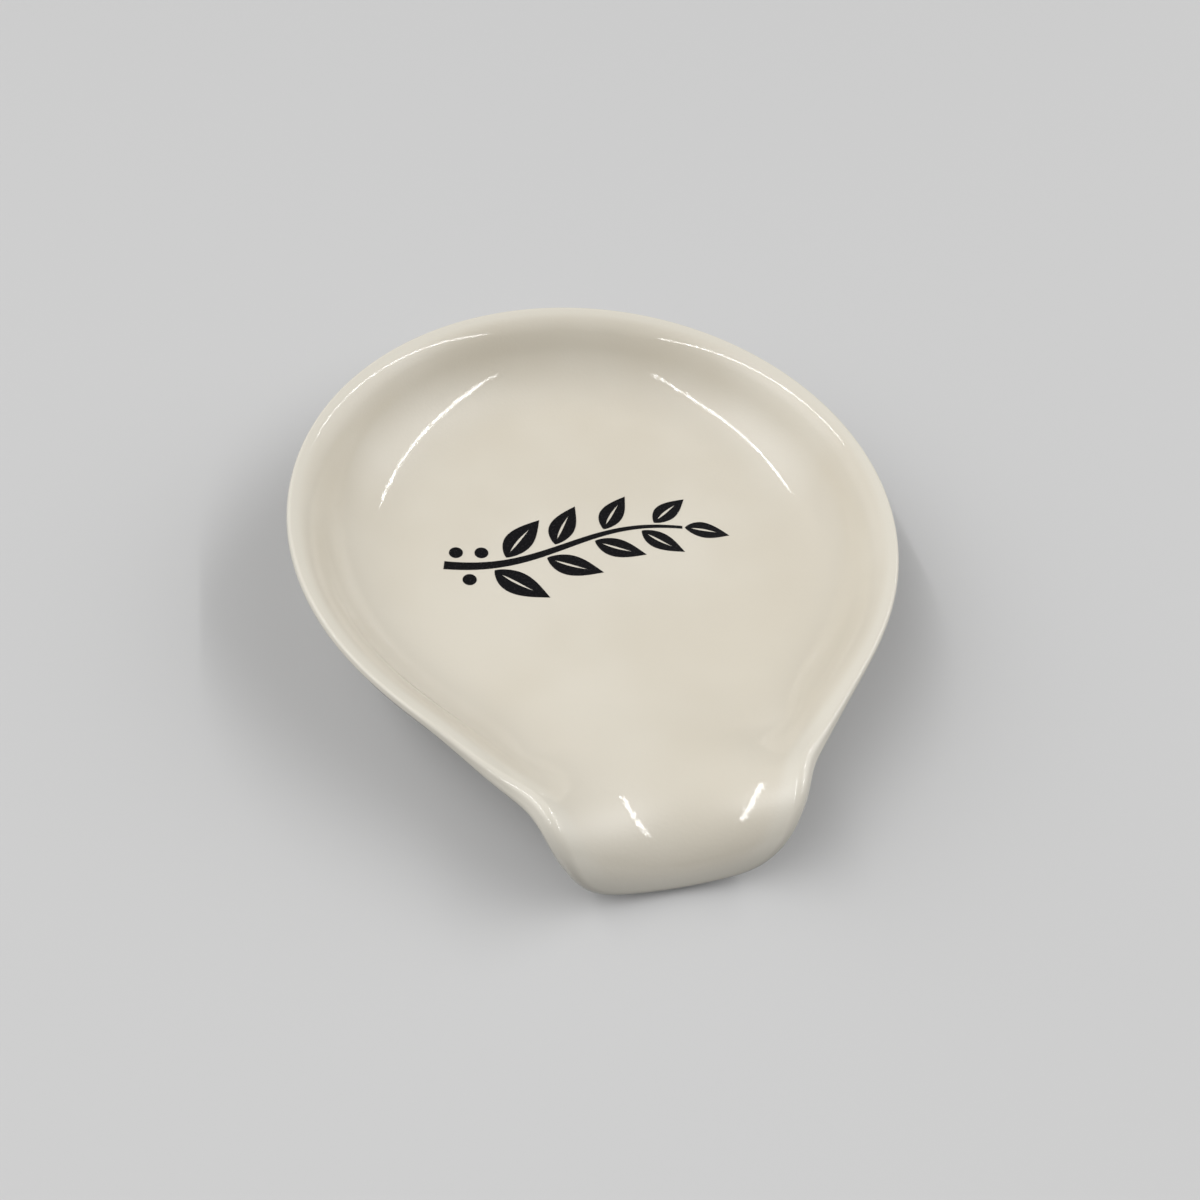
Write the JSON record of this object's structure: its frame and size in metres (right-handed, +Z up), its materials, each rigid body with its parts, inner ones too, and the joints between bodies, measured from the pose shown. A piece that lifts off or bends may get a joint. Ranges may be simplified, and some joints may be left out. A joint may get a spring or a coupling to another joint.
{
  "type": "spoon rest",
  "caption": "Round glazed ceramic spoon rest: a shallow bowl for the spoon's head with a full-round rim, a lowered lip that rolls down to carry the handle, and a printed sprig.",
  "frame": {"origin": "on the table, under the middle of the overall length and width", "axes": "+Y from the lip towards the back of the bowl, +X to the right as seen with the lip to the front, +Z up"},
  "size_m": [0.108, 0.1202, 0.0218],
  "materials": {
    "glaze": "glossy warm white glaze, bare clay under the foot ring",
    "print": "glossy black ceramic ink"
  },
  "bodies": {
    "root": {"dish": "glaze", "print_stem": "print", "print_leaf_1": "print", "print_leaf_2": "print", "print_leaf_3": "print", "print_leaf_4": "print", "print_leaf_5": "print", "print_leaf_6": "print", "print_leaf_7": "print", "print_leaf_8": "print", "print_tip_leaf": "print", "print_berry_1": "print", "print_berry_2": "print", "print_berry_3": "print"}
  },
  "joints": []
}
